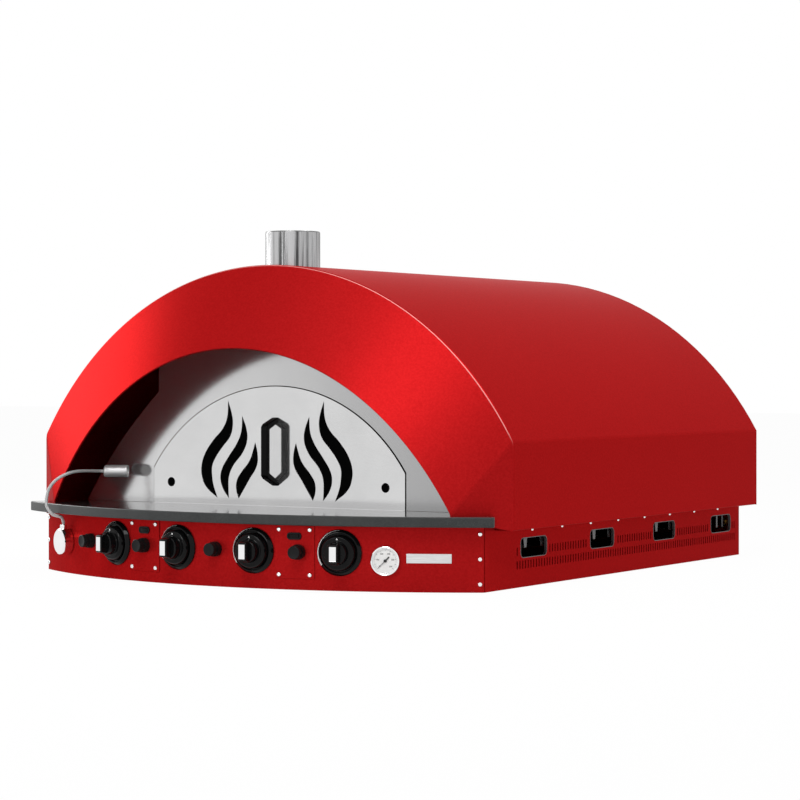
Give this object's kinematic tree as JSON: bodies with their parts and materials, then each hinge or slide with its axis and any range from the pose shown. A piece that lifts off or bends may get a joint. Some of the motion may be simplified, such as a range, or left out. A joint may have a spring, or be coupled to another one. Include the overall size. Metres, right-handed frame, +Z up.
{
  "type": "gas pizza oven",
  "caption": "Countertop gas pizza oven with a domed red sheet hood, flared visor, bowed control panel, stone shelf, lift-out arched door, flue stub and a flexible lamp.",
  "frame": {"origin": "on the underside of the base pan, midway between the front corners of the two side panels", "axes": "+Z up, the door and controls face -Y, +X to the right seen from the front"},
  "size_m": [1.164, 1.3971, 0.714],
  "materials": {
    "red_paint": "fine textured powder coat, satin",
    "galvanised_steel": "plain sheet, dull",
    "satin_stainless": "satin polished",
    "brushed_stainless": "brushed",
    "black_heat_paint": "smooth satin black",
    "dark_stone": "honed dark stone, polished top",
    "firebrick": "rough refractory",
    "brass": "machined",
    "gloss_black_plastic": "glossy",
    "black_plastic": "fine matt",
    "white_enamel": "printed white dial",
    "chrome": "polished",
    "white_sleeve": "smooth pale sleeve",
    "lamp_aluminium": "turned, satin"
  },
  "bodies": {
    "oven": {"base_pan": "galvanised_steel", "base_top": "galvanised_steel", "base_right_panel": "red_paint", "base_left_panel": "red_paint", "base_rear_panel": "red_paint", "burner_rail_front": "galvanised_steel", "burner_rail_rear": "galvanised_steel", "control_panel": "red_paint", "shelf_slab": "dark_stone", "hood_shell": "red_paint", "hood_rear_panel": "red_paint", "hood_visor": "red_paint", "fascia": "satin_stainless", "oven_vault": "firebrick", "deck_tile_1": "firebrick", "deck_tile_2": "firebrick", "deck_tile_3": "firebrick", "deck_tile_4": "firebrick", "flue_stub": "brushed_stainless", "gas_manifold": "brass", "burner_1": "galvanised_steel", "burner_2": "galvanised_steel", "burner_3": "galvanised_steel", "burner_4": "galvanised_steel", "knob_bezel_1": "gloss_black_plastic", "knob_bezel_2": "gloss_black_plastic", "knob_bezel_3": "gloss_black_plastic", "knob_bezel_4": "gloss_black_plastic", "igniter_body_1": "black_plastic", "igniter_body_2": "black_plastic", "igniter_body_3": "black_plastic", "igniter_body_4": "black_plastic", "service_plate_1": "red_paint", "service_plate_2": "red_paint", "switch_frame_1": "black_plastic", "switch_frame_2": "black_plastic", "gauge_case": "brushed_stainless", "gauge_dial": "white_enamel", "name_plate": "brushed_stainless", "lamp_base": "chrome"},
    "door": {"door_panel": "satin_stainless", "door_backing": "black_heat_paint", "door_handle": "black_heat_paint"},
    "tap_1": {"tap_stem_1": "brass"},
    "knob_1": {"knob_1": "gloss_black_plastic"},
    "tap_2": {"tap_stem_2": "brass"},
    "knob_2": {"knob_2": "gloss_black_plastic"},
    "tap_3": {"tap_stem_3": "brass"},
    "knob_3": {"knob_3": "gloss_black_plastic"},
    "tap_4": {"tap_stem_4": "brass"},
    "knob_4": {"knob_4": "gloss_black_plastic"},
    "igniter_1": {"igniter_button_1": "black_plastic"},
    "igniter_2": {"igniter_button_2": "black_plastic"},
    "igniter_3": {"igniter_button_3": "black_plastic"},
    "igniter_4": {"igniter_button_4": "black_plastic"},
    "rocker_1": {"switch_rocker_1": "black_plastic"},
    "rocker_2": {"switch_rocker_2": "black_plastic"},
    "pointer": {"gauge_pointer": "black_plastic"},
    "lamp": {"lamp_neck": "white_sleeve", "lamp_head": "lamp_aluminium"}
  },
  "joints": [
    {"name": "door_lift_out", "type": "slide", "parent": "oven", "child": "door", "axis": [0, -1, 0], "range_m": [0, 0.32]},
    {"name": "tap_push_1", "type": "slide", "parent": "oven", "child": "tap_1", "axis": [0.2536, 0.9673, 0], "range_m": [0, 0.003], "stiffness_N_per_m": 800},
    {"name": "knob_turn_1", "type": "hinge", "parent": "tap_1", "child": "knob_1", "pos_m": [-0.25271, -0.12642, 0.074], "axis": [-0.2536, -0.9673, 0], "range_deg": [0, 180]},
    {"name": "tap_push_2", "type": "slide", "parent": "oven", "child": "tap_2", "axis": [0.0739, 0.9973, 0], "range_m": [0, 0.003], "stiffness_N_per_m": 800},
    {"name": "knob_turn_2", "type": "hinge", "parent": "tap_2", "child": "knob_2", "pos_m": [-0.07363, -0.15628, 0.074], "axis": [-0.0739, -0.9973, 0], "range_deg": [0, 180]},
    {"name": "tap_push_3", "type": "slide", "parent": "oven", "child": "tap_3", "axis": [-0.1083, 0.9941, 0], "range_m": [0, 0.003], "stiffness_N_per_m": 800},
    {"name": "knob_turn_3", "type": "hinge", "parent": "tap_3", "child": "knob_3", "pos_m": [0.10789, -0.15314, 0.074], "axis": [0.1083, -0.9941, 0], "range_deg": [0, 180]},
    {"name": "tap_push_4", "type": "slide", "parent": "oven", "child": "tap_4", "axis": [-0.2868, 0.958, 0], "range_m": [0, 0.003], "stiffness_N_per_m": 800},
    {"name": "knob_turn_4", "type": "hinge", "parent": "tap_4", "child": "knob_4", "pos_m": [0.28583, -0.11713, 0.074], "axis": [0.2868, -0.958, 0], "range_deg": [0, 180]},
    {"name": "igniter_press_1", "type": "slide", "parent": "oven", "child": "igniter_1", "axis": [0.3408, 0.9402, 0], "range_m": [0, 0.005], "stiffness_N_per_m": 600},
    {"name": "igniter_press_2", "type": "slide", "parent": "oven", "child": "igniter_2", "axis": [0.1628, 0.9867, 0], "range_m": [0, 0.005], "stiffness_N_per_m": 600},
    {"name": "igniter_press_3", "type": "slide", "parent": "oven", "child": "igniter_3", "axis": [-0.0206, 0.9998, 0], "range_m": [0, 0.005], "stiffness_N_per_m": 600},
    {"name": "igniter_press_4", "type": "slide", "parent": "oven", "child": "igniter_4", "axis": [-0.2033, 0.9791, 0], "range_m": [0, 0.005], "stiffness_N_per_m": 600},
    {"name": "rocker_tilt_1", "type": "hinge", "parent": "oven", "child": "rocker_1", "pos_m": [-0.16517, -0.1442, 0.1045], "axis": [0, 0, 1], "range_deg": [-6, 6]},
    {"name": "rocker_tilt_2", "type": "hinge", "parent": "oven", "child": "rocker_2", "pos_m": [0.19601, -0.13851, 0.1045], "axis": [0, 0, 1], "range_deg": [-6, 6]},
    {"name": "pointer_sweep", "type": "hinge", "parent": "oven", "child": "pointer", "pos_m": [0.37178, -0.08705, 0.06], "axis": [0.3731, -0.9278, 0], "range_deg": [-270, 0]},
    {"name": "lamp_swing", "type": "hinge", "parent": "oven", "child": "lamp", "pos_m": [-0.44192, -0.06902, 0.1], "axis": [0, 0, 1], "range_deg": [-12, 15]}
  ]
}
